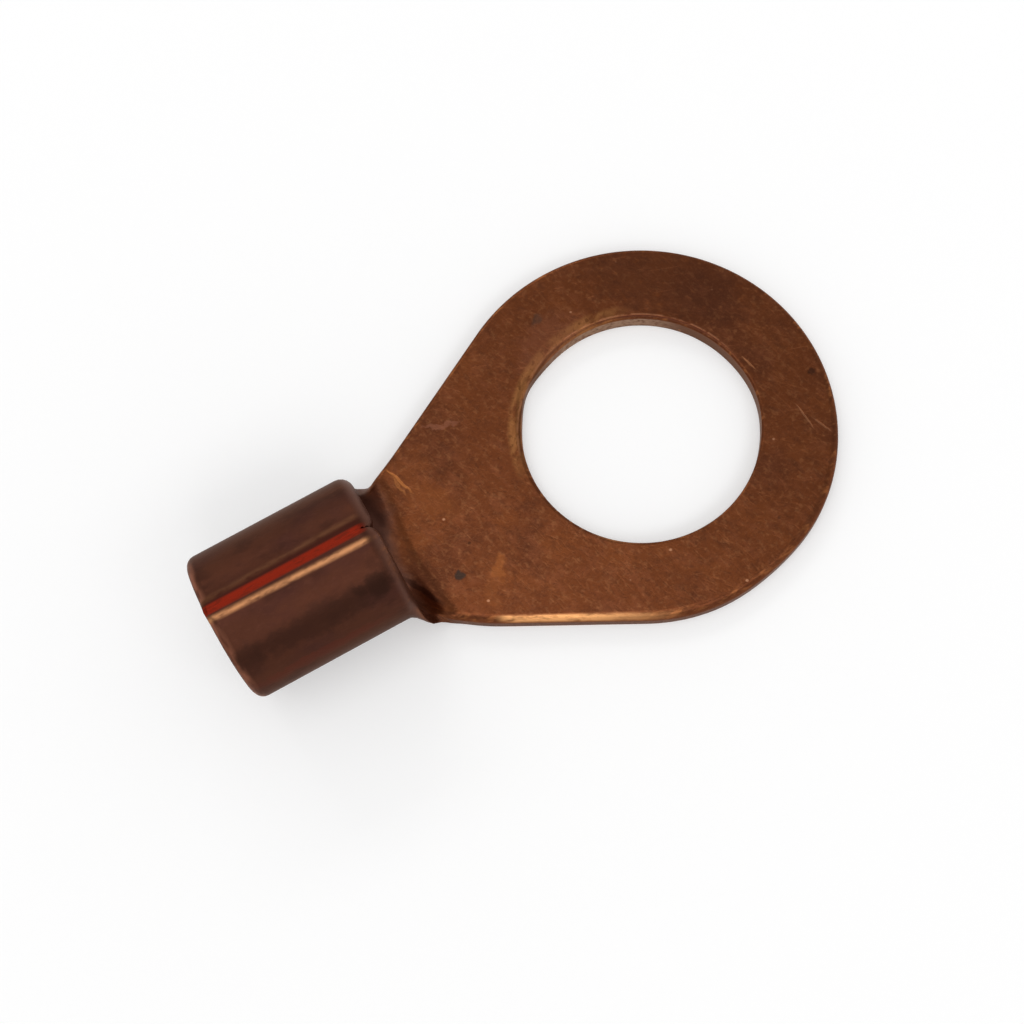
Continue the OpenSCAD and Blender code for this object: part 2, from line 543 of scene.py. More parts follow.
@dataclass(frozen=True)
class RollingTool:
    """Steps the blank up and rolls its wings into the barrel, as a node tree.

    The wings are pressed shut a little before the barrel's floor has its full curl, so the
    foot of each wing bulges where it leaves the tongue.
    """

    # A delay of 1 curls the barrel's floor evenly, a higher one curls it late.
    roll_start: float = 17.7
    roll_len: float = 3.2
    roll_delay: float = 1.2
    # How much sooner the wings curl, and where from the sheet's middle that sets in.
    wing_lead: float = 0.9
    wing_from: float = 6.0
    wing_to: float = 9.0
    step_len: float = 1.7
    step_rise: float = 1.0
    # The tongue's curvature, per metre, in place of none.
    flattest: float = 0.01
    # The bead along the seam, and how far from a wing's edge its lip sets in and is full.
    bead_width: float = 0.4
    bead_height: float = 0.15
    lip_from: float = 1.2
    lip_to: float = 0.8
    # Height of the barrel's top.
    crest: float = 11.47
    # Angle between two faces, in radians, above which their edge stays sharp.
    sharpest: float = 0.6

    def sizes(self, blank: Blank) -> dict[str, float]:
        """Names the tree's inputs, in metres where they are lengths.

        Args:
            blank: The blank that goes into the tool.

        Returns:
            Each input's name with its value.
        """
        lengths = {
            "Sheet Thickness": blank.sheet_t,
            "Roll Radius": blank.roll_r,
            "Roll Start": self.roll_start,
            "Roll Length": self.roll_len,
            "Wing Lead": self.wing_lead,
            "Wing From": self.wing_from,
            "Wing To": self.wing_to,
            "Step Start": blank.neck_reach - self.step_len,
            "Step End": blank.neck_reach,
            "Step Rise": self.step_rise,
            "Clear Gap": blank.clear_gap,
            "Bead Width": self.bead_width,
            "Bead Height": self.bead_height,
            "Lip From": blank.wing - self.lip_from,
            "Lip To": blank.wing - self.lip_to,
            "Outside": -blank.sheet_t / 2,
            "Crest": self.crest,
        }
        in_metres = {name: length * MM for name, length in lengths.items()}
        return in_metres | {"Roll Delay": self.roll_delay}

    def tree(self, names: Sequence[str], material: bpy.types.Material) -> bpy.types.NodeTree:
        """Builds the tree that rolls a sheet.

        Args:
            names: The names of its size inputs.
            material: The finish that the rolled sheet gets.

        Returns:
            The tree.
        """
        tree = bpy.data.node_groups.new("roll_sheet", "GeometryNodeTree")
        face = tree.interface
        face.new_socket("Geometry", in_out="INPUT", socket_type="NodeSocketGeometry")
        for name in names:
            face.new_socket(name, in_out="INPUT", socket_type="NodeSocketFloat")
        face.new_socket("Geometry", in_out="OUTPUT", socket_type="NodeSocketGeometry")
        size = add_node(tree, "NodeGroupInput").outputs
        place = add_node(
            tree, "ShaderNodeSeparateXYZ", {0: add_node(tree, "GeometryNodeInputPosition")}
        ).outputs
        term: dict[str, Any] = {name: size[name] for name in names}
        term |= {"along": place["X"], "across": place["Y"], "above": place["Z"]}
        # The sheet's middle follows an arc of curvature "curl", and a point above it is
        # carried round by the arc's turn. Where the wings meet, each presses the other's
        # lip flat, and the soft copper rises in a low bead at the bottom of the seam.
        rows = (
            ("reach", "MULTIPLY", "along", -1.0),
            ("off middle", "ABSOLUTE", "across"),
            ("wing", "RAMP", "off middle", "Wing From", "Wing To"),
            ("lead", "MULTIPLY", "wing", "Wing Lead"),
            ("start", "SUBTRACT", "Roll Start", "lead"),
            ("end", "ADD", "start", "Roll Length"),
            ("progress", "RAMP", "reach", "start", "end"),
            ("rolled", "POWER", "progress", "Roll Delay"),
            ("curvature", "DIVIDE", "rolled", "Roll Radius"),
            ("curl", "MAXIMUM", "curvature", self.flattest),
            ("turn", "MULTIPLY", "across", "curl"),
            ("half turn", "MULTIPLY", "turn", 0.5),
            ("sine", "SINE", "turn"),
            ("cosine", "COSINE", "turn"),
            ("half sine", "SINE", "half turn"),
            ("squared", "POWER", "half sine", 2.0),
            ("doubled", "MULTIPLY", "squared", 2.0),
            ("lift", "DIVIDE", "doubled", "curl"),
            ("swing", "DIVIDE", "sine", "curl"),
            ("pull in", "MULTIPLY", "above", "sine"),
            ("side", "SUBTRACT", "swing", "pull in"),
            ("way", "SIGN", "across"),
            ("outward", "MULTIPLY", "side", "way"),
            ("clear", "MAXIMUM", "outward", "Clear Gap"),
            ("pressed side", "MULTIPLY", "clear", "way"),
            ("step", "RAMP", "reach", "Step Start", "Step End"),
            ("level", "MULTIPLY", "step", "Step Rise"),
            ("middle", "MULTIPLY", "Sheet Thickness", 0.5),
            ("carried", "MULTIPLY", "above", "cosine"),
            ("floor", "ADD", "level", "middle"),
            ("arc", "ADD", "lift", "carried"),
            ("rolled height", "ADD", "floor", "arc"),
            ("from seam", "DIVIDE", "outward", "Bead Width"),
            ("to seam", "SUBTRACT", 1.0, "from seam"),
            ("bead", "MAXIMUM", "to seam", 0.0),
            ("rounded bead", "POWER", "bead", 2.0),
            ("by lip", "RAMP", "off middle", "Lip From", "Lip To"),
            ("outer", "RAMP", "above", 0.0, "Outside"),
            ("on lip", "MULTIPLY", "by lip", "outer"),
            ("bead on lip", "MULTIPLY", "rounded bead", "on lip"),
            ("raised", "MULTIPLY_ADD", "bead on lip", "Bead Height", "rolled height"),
            ("height", "MINIMUM", "raised", "Crest"),
        )
        add_terms(tree, term, rows)
        rolled = add_node(
            tree,
            "ShaderNodeCombineXYZ",
            {0: term["along"], 1: term["pressed side"], 2: term["height"]},
        )
        moved = add_node(
            tree, "GeometryNodeSetPosition", {"Geometry": size["Geometry"], "Position": rolled}
        )
        smooth = add_node(tree, "GeometryNodeSetShadeSmooth", {"Geometry": moved})
        bend = add_node(tree, "GeometryNodeInputMeshEdgeAngle").outputs["Unsigned Angle"]
        steep = add_node(
            tree, "ShaderNodeMath", {0: bend, 1: self.sharpest}, operation="GREATER_THAN"
        )
        creased = add_node(
            tree,
            "GeometryNodeSetShadeSmooth",
            {"Geometry": smooth, "Selection": steep, "Shade Smooth": False},
            domain="EDGE",
        )
        real = add_node(tree, "GeometryNodeRealizeInstances", {"Geometry": creased})
        dressed = add_node(
            tree, "GeometryNodeSetMaterial", {"Geometry": real, "Material": material}
        )
        add_node(tree, "NodeGroupOutput", {"Geometry": dressed})
        return tree

    def roll(
        self, blank: Blank, flat: bpy.types.Object, material: bpy.types.Material
    ) -> bpy.types.Mesh:
        """Rolls the flat blank and turns the result into a plain mesh.

        Args:
            blank: The blank's sizes.
            flat: The object that holds the flat blank.
            material: The finish for the lug.

        Returns:
            The rolled mesh.
        """
        sizes = self.sizes(blank)
        modifier = flat.modifiers.new("roll", "NODES")
        modifier.node_group = self.tree(list(sizes), material)
        for item in modifier.node_group.interface.items_tree:
            if item.in_out == "INPUT" and item.name in sizes:
                modifier[item.identifier] = sizes[item.name]
        evaluated = flat.evaluated_get(bpy.context.evaluated_depsgraph_get())
        mesh = bpy.data.meshes.new_from_object(evaluated)
        flat.modifiers.clear()
        return mesh


class Zone(Enum):
    """Where on the lug a coat of its finish lies."""

    ALL = "all"
    TONGUE = "tongue"
    BARREL = "barrel"
    EDGE = "edge"
    BURNISHED_AND_HIGHLIT = "burnished"
    MOUTH = "mouth rim"
    HOLE_RUB_AND_SHEEN = "hole rub"
    HOLE_GROOVE = "hole groove"
    HOLE_BURR_AND_GLINT = "hole burr"
    SHEARED = "outer wall"
    LIPS_AND_HIGHLIGHT = "lips"
    SEAM = "seam"
    GUTTER = "gutter"
    INSIDE = "inside"
    NECK = "neck"
    HOLE_WALL = "hole wall"
    HOLE_WALL_LIT = "hole break"


class Pattern(Enum):
    """How a coat is spread inside its zone, with the texture that spreads it."""

    EVEN = ""
    CLOUDS = "ShaderNodeTexNoise"
    SPECKS = "ShaderNodeTexVoronoi"


@dataclass(frozen=True)
class Coat:
    """One thin layer of the finish.

    Args:
        name: What the layer is on the real metal, or the light or shade that it paints.
        zone: Where it lies.
        colour: Its sRGB colour.
        roughness: The surface's roughness where it lies.
        amount: How much of the colour below it hides.
        size: Length and width of its marks, in millimetres.
        turn: Direction of the marks, in degrees.
        fade: Levels of the pattern between which it comes in.
        relief: Height that it adds, in millimetres.
        metal: How much of its gloss is the metal's own: oxides and dirt have less.
        pattern: How it is spread. An even one needs no size, turn or fade.
    """

    name: str
    zone: Zone
    colour: str
    roughness: float
    amount: float
    size: tuple[float, float] = (1.0, 1.0)
    turn: float = 0.0
    fade: tuple[float, float] = (0.45, 0.65)
    relief: float = 0.0
    metal: float = 1.0
    pattern: Pattern = Pattern.CLOUDS


@dataclass(frozen=True)
class Mark:
    """A single stain, rub, scratch, painted shade or painted highlight at its own place on
    the sheet.

    Args:
        x: Place along the flat sheet.
        y: Place across it.
        half_length: Half its length.
        half_width: Half its width.
        turn: Its direction, in degrees.
        colour: Its sRGB colour.
        amount: How much of the film it hides.
        upper: Whether it lies on the sheet's upper face.
        ragged: How far its outline wanders.
        relief: Height that it adds.
        metal: How much of its gloss is the metal's own.
        roughness: The surface's roughness where it lies.
    """

    x: float
    y: float
    half_length: float
    half_width: float
    turn: float
    colour: str
    amount: float
    upper: bool = True
    ragged: float = 0.5
    relief: float = 0.0
    metal: float = 1.0
    roughness: float = FILM_ROUGHNESS


# The layers that follow the sheet's zones, from the lowest up.
COATS: tuple[Coat, ...] = (
    Coat("old oxide", Zone.TONGUE, "#573020", 0.35, 0.7, (7.0, 5.0), 35, (0.45, 0.7)),
    Coat("warm oxide", Zone.TONGUE, "#7b4425", 0.3, 0.6, (4.5, 3.0), -40, (0.45, 0.72)),
    Coat("mottling", Zone.ALL, "#804a30", 0.3, 0.42, (1.1, 0.7), -75, (0.45, 0.72), 0.002),
    Coat("dark mottling", Zone.TONGUE, "#4c2b1d", 0.38, 0.45, (0.8, 0.5), -60, (0.48, 0.75)),
    Coat("pale flecks", Zone.TONGUE, "#945f3d", 0.3, 0.34, (0.42, 0.34), -70, (0.52, 0.72), 0.002),
    # Real grain and hair scratches are finer, about 0.05 mm, and are drawn as coarse as they
    # need to show.
    Coat("grain", Zone.ALL, "#8a5436", 0.34, 0.24, (0.2, 0.16), 0, (0.48, 0.75), 0.002),
    Coat("dark grain", Zone.ALL, "#4a2a1f", 0.38, 0.3, (0.24, 0.16), 0, (0.48, 0.75), -0.002),
    # The barrel's darker coats are partly a darker film and partly painted shade of the dark room
    # that the barrel reflects.
    Coat("barrel film and shade", Zone.BARREL, "#482a20", 0.46, 0.92, pattern=Pattern.EVEN),
    Coat("purple tarnish", Zone.BARREL, "#3f2524", 0.5, 0.45, (4.0, 2.5), 0, (0.45, 0.7)),
    Coat("brown tarnish", Zone.BARREL, "#543022", 0.44, 0.5, (5.0, 1.6), 0, (0.45, 0.72)),
    Coat("dark blotches", Zone.BARREL, "#38211a", 0.5, 0.5, (2.2, 1.2), 0, (0.52, 0.72)),
    Coat("barrel grain", Zone.BARREL, "#583529", 0.45, 0.3, (0.5, 0.2), 0, (0.48, 0.75), 0.002),
    Coat("neck tarnish", Zone.NECK, "#6a473b", 0.45, 0.6, (2.0, 1.5), 0, (0.1, 0.5), 0, 0.6),
    Coat("inside film", Zone.INSIDE, "#3d231b", 0.5, 0.7, pattern=Pattern.EVEN),
    # Painted shade on the tongue's rounded edges.
    Coat("edge shade", Zone.EDGE, "#4f2c1c", 0.4, 0.6, (1.6, 0.5), 0, (0.2, 0.6)),
    Coat("edge rub", Zone.EDGE, "#a8683c", 0.34, 0.5, (1.3, 0.4), 0, (0.5, 0.7)),
    # Partly rubbed metal and partly a painted sheen on the hole's rounded edge, on its worn side.
    Coat("hole rub", Zone.HOLE_RUB_AND_SHEEN, "#a06b3f", 0.34, 0.7, (1.2, 0.6), 30, (0.22, 0.6), 0.003),
    Coat(
        "hole rub dirt", Zone.HOLE_RUB_AND_SHEEN, "#553019", 0.4, 0.6, (0.45, 0.3), 60, (0.55, 0.68), -0.003,
    ),
    Coat(
        "hole groove", Zone.HOLE_GROOVE, "#43231a", 0.42, 0.7, relief=-0.01, pattern=Pattern.EVEN,
    ),
    # Partly a low burr ridge and partly a painted highlight along the hole's far rim.
    Coat("hole burr", Zone.HOLE_BURR_AND_GLINT, "#9a6749", 0.34, 0.7, (0.8, 0.3), 0, (0.35, 0.6), 0.01),
    # Partly burnished metal and partly a painted highlight: bright copper laid on the tongue's
    # near edge, between the neck and the ring's tip.
    Coat("highlit burnish", Zone.BURNISHED_AND_HIGHLIT, "#ffb878", 0.3, 1, (1.3, 0.4), -31, (0.2, 0.55)),
    Coat("burnish dirt", Zone.BURNISHED_AND_HIGHLIT, "#a5633a", 0.36, 0.5, (0.6, 0.3), -31, (0.53, 0.68)),
    # Partly rubbed metal and partly a painted highlight on the mouth's rounded rim.
    Coat("mouth rub and highlight", Zone.MOUTH, "#9a624c", 0.4, 0.65, (1.5, 0.6), 90, (0.3, 0.65)),
    Coat("hole wall", Zone.HOLE_WALL, "#6f4e3c", 0.42, 0.9, (0.9, 0.14), 90, (0.15, 0.55), 0.003),
    # Painted light: the side of the hole's wall that faces the light is made pale.
    Coat("painted light on hole wall", Zone.HOLE_WALL_LIT, "#a3846d", 0.38, 0.9, (0.9, 0.3), 90, (0.25, 0.6), 0.003),
    # Partly the sheared metal's own colour and partly painted shade on the sheet's outer cut
    # walls.
    Coat("sheared wall and shade", Zone.SHEARED, "#4f2a1b", 0.42, 0.8, (0.9, 0.14), 90, (0.25, 0.7), 0.003),
    # Painted shade on the far lip's flank, where it drops into the seam.
    Coat("gutter shade", Zone.GUTTER, "#3d1c16", 0.45, 0.8, pattern=Pattern.EVEN),
    # Partly polished metal and partly a painted highlight on the near lip's crown, much weaker on
    # the far lip.
    Coat("lip polish and highlight", Zone.LIPS_AND_HIGHLIGHT, "#b07a52", 0.32, 0.9, (1.1, 0.35), 0, (0.2, 0.6), 0.004),
    # The red seam is a painted glow that stands for light bounced back and forth between the
    # copper lips in the groove.
    Coat("red seam glow", Zone.SEAM, "#841d04", 0.5, 0.95, metal=0.75, pattern=Pattern.EVEN),
    Coat("darker seam glow", Zone.SEAM, "#5c1a0a", 0.45, 0.6, (0.7, 0.22), 0, (0.5, 0.68), 0, 0.8),
    Coat("strokes", Zone.TONGUE, "#95603f", 0.3, 0.12, (1.5, 0.2), -76, (0.56, 0.74), -0.003),
    Coat(
        "crossing strokes", Zone.TONGUE, "#95603f", 0.3, 0.11,
        (1.1, 0.18), -48, (0.57, 0.75), -0.003,
    ),
    Coat(
        "slanting strokes", Zone.TONGUE, "#8d5a3c", 0.3, 0.13,
        (0.9, 0.16), 28, (0.58, 0.76), -0.002,
    ),
    Coat(
        "hair scratches", Zone.TONGUE, "#a9714f", 0.3, 0.16,
        (2.4, 0.08), -20, (0.64, 0.76), -0.003,
    ),
    Coat(
        "bright specks", Zone.TONGUE, "#c08a68", 0.34, 0.7,
        (2.6, 2.2), -30, (0.06, 0.02), pattern=Pattern.SPECKS,
    ),
    Coat(
        "dark specks", Zone.TONGUE, "#3a241a", 0.5, 0.55,
        (3.4, 3.1), 0, (0.05, 0.02), pattern=Pattern.SPECKS,
    ),
)

# The single marks, which lie on top of them.
MARKS: tuple[Mark, ...] = (
    Mark(-16.4, -3.2, 0.36, 0.33, 0, "#241e17", 0.8, metal=0.4),
    Mark(-2.4, 11.0, 0.65, 0.35, 20, "#31271e", 0.6, metal=0.5),
    Mark(12.7, -2.45, 0.3, 0.25, 0, "#3c241b", 0.7),
    Mark(-15.6, 2.7, 2.2, 1.1, -60, "#834a27", 0.3, ragged=1.2),
    Mark(-14.9, -5.1, 1.4, 0.6, 60, "#8f532c", 0.22, ragged=1.0),
    Mark(-13.7, -4.1, 1.0, 0.55, 60, "#9a5a2e", 0.42, ragged=0.8),
    Mark(-16.9, 5.0, 1.3, 0.12, -72, "#b5713e", 0.6, True, 0.3, -0.006),
    Mark(-17.1, 4.7, 0.9, 0.12, -80, "#a5673a", 0.45, True, 0.3, -0.006),
    Mark(10.5, -5.0, 1.1, 0.08, -85, "#9b6a4b", 0.5, True, 0.15, -0.006),
    Mark(11.2, -6.2, 0.8, 0.08, -70, "#9b6a4b", 0.45, True, 0.15, -0.006),
    Mark(9.2, 0.4, 0.7, 0.07, -75, "#a9714c", 0.6, True, 0.1, -0.006),
    # Painted shade over the ring's far side.
    Mark(7.5, 9.0, 7.0, 3.2, -45, "#512e20", 0.5, ragged=1.6),
    Mark(-2.6, 9.0, 3.0, 2.0, 20, "#84503a", 0.35, ragged=1.2),
    Mark(-12.4, 7.3, 1.4, 0.16, -20, "#96604a", 0.4, True, 0.7),
    # Painted shade in the crease at the near foot of the neck.
    Mark(-19.3, -3.2, 1.8, 0.32, -58, "#2c1814", 0.6, True, 0.3),
    # Painted highlight on the small facet below the crease.
    Mark(-19.85, -4.5, 0.8, 0.45, -65, "#8a5f4a", 0.6, True, 0.5),
    Mark(-21.6, -10.9, 0.9, 0.8, 0, "#2b1a14", 0.75, False),
    Mark(-22.9, -11.0, 0.5, 0.35, 0, "#2b1a14", 0.6, False),
    Mark(-26.0, -10.7, 5.6, 0.9, 0, "#352019", 0.6, False, 0.9),
    Mark(-31.0, -10.4, 1.0, 1.2, 0, "#352019", 0.5, False, 0.9),
    Mark(-27.0, -8.4, 5.0, 0.45, 0, "#59281d", 0.5, False, 0.5),
)


@dataclass(frozen=True)
class AgedCopper:
    """Bare annealed copper sheet, stamped and rolled, then handled for years.

    A thin brown oxide film dulls it to a satin brown. It is rubbed back to brighter metal on
    the edges, where painted highlights also lie in places. It is darker and more purple on the
    barrel, partly where the hot rolling dies left their oil and partly from painted shade. The
    red in the seam is a painted glow of light bounced between its copper lips.
    """

    film: str = "#6b3a21"
    # Tint of the metal's reflection at a grazing angle.
    edge_tint: str = "#e2d6cf"
    # Size of the notches in a mark's outline.
    ragged_size: float = 0.8
    # Size of the bends in the limits of the tarnish, and how far these waver each way.
    waver_size: float = 1.4
    waver: float = 0.8
    # How far each coat's pattern is moved from the last one's.
    pattern_shift: float = 13.7
    # Where a mark comes in, in half sizes from its middle.
    mark_fade: tuple[float, float] = (1.25, 0.6)
    coats: tuple[Coat, ...] = COATS
    marks: tuple[Mark, ...] = MARKS

    def zones(self, tree: bpy.types.NodeTree, blank: Blank) -> dict[str, Any]:
        """Works out how far each zone reaches.

        Args:
            tree: The material's tree.
            blank: The blank's sizes.

        Returns:
            For each zone's name, its mask, among the terms that lead to it.
        """
        sheet = add_node(tree, "ShaderNodeAttribute", attribute_name="flat").outputs["Vector"]
        place = add_node(
            tree,
            "ShaderNodeMapping",
            {
                "Vector": add_node(tree, "ShaderNodeTexCoord").outputs["Object"],
                "Scale": (1 / MM, 1 / MM, 1 / MM),
            },
        )
        wobble = add_node(
            tree,
            "ShaderNodeTexNoise",
            {"Vector": sheet, "Scale": 1 / self.waver_size, "Detail": 3.0},
        )
        on_sheet = add_node(tree, "ShaderNodeSeparateXYZ", {0: sheet}).outputs
        in_room = add_node(tree, "ShaderNodeSeparateXYZ", {0: place}).outputs
        term: dict[str, Any] = {"all": 1.0, "sheet": sheet, "wobble": wobble}
        term |= {"along": on_sheet["X"], "across": on_sheet["Y"], "above": on_sheet["Z"]}
        term |= {"side": in_room["Y"], "height": in_room["Z"]}
        for name in ("wear", "sheared"):
            mask = add_node(tree, "ShaderNodeAttribute", attribute_name=name)
            term[name] = mask.outputs["Fac"]
        front, crest = blank.neck_reach, 2 * blank.roll_r
        mouth, hole = front + blank.barrel_len, blank.hole_r
        # Each row's name says what it is. The numbers are places and widths in millimetres, on
        # the flat sheet or, for the seam and its lips, on the rolled barrel.
        rows = (
            ("reach", "MULTIPLY", "along", -1.0),
            ("waver", "MULTIPLY_ADD", "wobble", 2 * self.waver, -self.waver),
            ("ragged reach", "ADD", "reach", "waver"),
            ("far foot", "RAMP", "across", 0.0, 3.0),
            ("barrel film reach", "ADD", "ragged reach", "far foot"),
            ("barrel", "RAMP", "barrel film reach", front - 0.3, front + 0.7),
            ("tongue", "SUBTRACT", 1.0, "barrel"),
            ("by mouth", "RAMP", "reach", mouth - 1.3, mouth - 0.6),
            ("mouth rim", "MULTIPLY", "by mouth", "wear"),
            ("off side", "ABSOLUTE", "side"),
            ("behind front", "RAMP", "reach", front + 0.4, front + 1.2),
            ("on top", "RAMP", "height", crest, crest + 0.6),
            ("on crest", "MULTIPLY", "behind front", "on top"),
            ("throat", "RAMP", "off side", 0.40, 0.20),
            ("seam", "MULTIPLY", "throat", "on crest"),
            # The far side of the seam's throat, where the painted shade lies.
            ("near throat", "RAMP", "off side", 0.85, 0.60),
            ("throat on crest", "MULTIPLY", "near throat", "on crest"),
            ("far side", "RAMP", "side", -0.2, 0.2),
            ("gutter", "MULTIPLY", "throat on crest", "far side"),
            ("past front", "SUBTRACT", "reach", front),
            ("lip place", "MULTIPLY_ADD", "past front", -0.02, 0.90),
            ("from lip", "SUBTRACT", "off side", "lip place"),
            ("off lip", "ABSOLUTE", "from lip"),
            ("lip band", "RAMP", "off lip", 0.34, 0.0),
            # The near lip gets most of the painted highlight, the far lip a little.
            ("near side", "RAMP", "side", 0.3, -0.3),
            ("near lip highlight share", "MULTIPLY_ADD", "near side", 0.85, 0.15),
            ("lip", "MULTIPLY", "lip band", "near lip highlight share"),
            ("lips", "MULTIPLY", "lip", "on crest"),
            ("up face", "RAMP", "above", -0.1, 0.4),
            ("inside", "MULTIPLY", "up face", "barrel"),
            ("from tongue", "RAMP", "barrel film reach", front - 1.0, front + 0.2),
            ("to barrel", "RAMP", "reach", front + 0.9, front + 0.2),
            ("neck", "MULTIPLY", "from tongue", "to barrel"),
            ("edge", "MULTIPLY", "wear", "tongue"),
            # Where the near edge's burnish and painted highlight lie along the edge, and how
            # sharply they peak across its rounding.
            ("near edge", "RAMP", "across", -5.0, -6.5),
            ("past neck", "RAMP", "along", -15.9, -14.6),
            ("before tip", "RAMP", "along", -3.5, -11.5),
            ("near stretch", "MULTIPLY", "past neck", "before tip"),
            ("near stretch edge", "MULTIPLY", "near stretch", "near edge"),
            ("wear and highlight peak", "POWER", "edge", 1.7),
            ("burnished", "MULTIPLY", "near stretch edge", "wear and highlight peak"),
            ("along squared", "MULTIPLY", "along", "along"),
            ("both squared", "MULTIPLY_ADD", "across", "across", "along squared"),
            ("radius", "SQRT", "both squared"),
            ("hole ring", "RAMP", "radius", hole + 1.15, hole + 0.7),
            ("toward neck", "MULTIPLY", "along", -0.5),
            ("toward rub and sheen", "MULTIPLY_ADD", "across", 0.87, "toward neck"),
            ("rub and sheen side", "RAMP", "toward rub and sheen", 4.6, 7.6),
            ("hole rub", "MULTIPLY", "hole ring", "rub and sheen side"),
            ("far half", "RAMP", "across", 1.0, 4.0),
            ("from groove", "SUBTRACT", "radius", hole + 0.16),
            ("off groove", "ABSOLUTE", "from groove"),
            ("groove line", "RAMP", "off groove", 0.12, 0.03),
            ("hole groove", "MULTIPLY", "groove line", "far half"),
            ("from burr", "SUBTRACT", "radius", hole + 0.30),
            ("off burr", "ABSOLUTE", "from burr"),
            ("burr and glint line", "RAMP", "off burr", 0.09, 0.02),
            ("hole burr", "MULTIPLY", "burr and glint line", "far half"),
            ("in hole", "RAMP", "radius", hole + 0.6, hole + 0.4),
            ("hole wall", "MULTIPLY", "in hole", "sheared"),
            # The side of the hole's wall that faces the light, where the painted light lies.
            ("toward lit wall", "MULTIPLY", "along", 0.2),
            ("lit wall reach", "MULTIPLY_ADD", "across", 0.98, "toward lit wall"),
            ("lit wall side", "RAMP", "lit wall reach", 6.4, 8.0),
            ("hole break", "MULTIPLY", "hole wall", "lit wall side"),
            ("outer wall", "SUBTRACT", "sheared", "hole wall"),
        )
        add_terms(tree, term, rows)
        return term

    @staticmethod
    def lay(tree: bpy.types.NodeTree, term: dict[str, Any], layer: Coat | Mark) -> None:
        """Lays one coat or mark over the finish so far.

        Args:
            tree: The material's tree.
            term: The finish so far, and "laid", where the layer lies.
            layer: The coat or mark.
        """
        add_terms(tree, term, (("cover", "MULTIPLY", "laid", layer.amount),))
        colour, rough, metal = linear(layer.colour), layer.roughness, layer.metal
        for name, top in (("colour", colour), ("roughness", rough), ("metal", metal)):
            if top != term[name]:
                term[name] = add_node(
                    tree,
                    "ShaderNodeMix",
                    {"Factor": term["cover"], "A": term[name], "B": top},
                    data_type="RGBA" if name == "colour" else "FLOAT",
                )
        if layer.relief:
            add_terms(tree, term, (("relief", "MULTIPLY_ADD", "laid", layer.relief, "relief"),))

    def material(self, blank: Blank) -> bpy.types.Material:
        """Builds the finish.

        Args:
            blank: The sizes of the sheet that it covers.

        Returns:
            The material.
        """
        made = bpy.data.materials.new("aged_copper")
        tree = cleared_tree(made)
        term = self.zones(tree, blank)
        term |= {
            "colour": linear(self.film),
            "roughness": FILM_ROUGHNESS,
            "metal": 1.0,
            "relief": 0.0,
        }
        ragged = add_node(
            tree,
            "ShaderNodeTexNoise",
            {"Vector": term["sheet"], "Scale": 1 / self.ragged_size, "Detail": 4.0},
        )
        centred = add_node(
            tree,
            "ShaderNodeVectorMath",
            {0: ragged.outputs["Color"], 1: (0.5, 0.5, 0.5)},
            operation="SUBTRACT",
        )
        for number, coat in enumerate(self.coats):
            term["spread"] = 1.0
            if coat.pattern is not Pattern.EVEN:
                # The place on the sheet, in millimetres, over the size of the coat's marks
                # gives about one cell a mark. The shift keeps two coats from matching.
                shift = self.pattern_shift * number
                spot = add_node(
                    tree,
                    "ShaderNodeMapping",
                    {
                        "Vector": term["sheet"],
                        "Location": (shift, -shift, shift / 2),
                        "Rotation": (0, 0, math.radians(coat.turn)),
                        "Scale": (coat.size[0], coat.size[1], coat.size[1]),
                    },
                    vector_type="TEXTURE",
                )
                detail = {"Detail": 3.0} if coat.pattern is Pattern.CLOUDS else {}
                term["texture"] = add_node(
                    tree, coat.pattern.value, {"Vector": spot, "Scale": 1.0} | detail
                )
                add_terms(tree, term, (("spread", "RAMP", "texture", *coat.fade),))
            add_terms(tree, term, (("laid", "MULTIPLY", "spread", coat.zone.value),))
            term["laid"].label = coat.name
            self.lay(tree, term, coat)
        face = blank.sheet_t / 2
        for mark in self.marks:
            wander = add_node(
                tree,
                "ShaderNodeVectorMath",
                {0: centred, 1: (mark.ragged * 2,) * 3, 2: term["sheet"]},
                operation="MULTIPLY_ADD",
            )
            spot = add_node(
                tree,
                "ShaderNodeMapping",
                {
                    "Vector": wander,
                    "Location": (mark.x, mark.y, face if mark.upper else -face),
                    "Rotation": (0, 0, math.radians(mark.turn)),
                    "Scale": (mark.half_length, mark.half_width, face),
                },
                vector_type="TEXTURE",
            )
            term["distance"] = add_node(
                tree, "ShaderNodeVectorMath", {0: spot}, operation="LENGTH"
            ).outputs["Value"]
            add_terms(tree, term, (("laid", "RAMP", "distance", *self.mark_fade),))
            self.lay(tree, term, mark)
        bump = add_node(
            tree, "ShaderNodeBump", {"Height": term["relief"], "Distance": MM, "Strength": 1.0}
        )
        shader = add_node(
            tree,
            "ShaderNodeBsdfPrincipled",
            {
                "Base Color": term["colour"],
                "Metallic": term["metal"],
                "Roughness": term["roughness"],
                "Specular Tint": linear(self.edge_tint),
                "Normal": bump,
            },
        )
        add_node(tree, "ShaderNodeOutputMaterial", {"Surface": shader})
        return made


@dataclass(frozen=True)
class CableLug:
    """The whole lug: one folded sheet."""

    blank: Blank
    tool: RollingTool
    finish: AgedCopper

    def build(self) -> bpy.types.Object:
        """Stamps, rolls and dresses the lug.

        Returns:
            The lug's object.
        """
        flat = place_object("lug_blank", self.blank.mesh())
        mesh = self.tool.roll(self.blank, flat, self.finish.material(self.blank))
        bpy.data.objects.remove(flat)
        mesh.name = "lug_sheet"
        lug = place_object("lug_sheet", mesh)
        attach(lug, BODY)
        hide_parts(CAD_NODE)
        LOG.info("%s: %d faces, replaces %s", lug.name, len(mesh.polygons), CAD_NODE)
        return lug


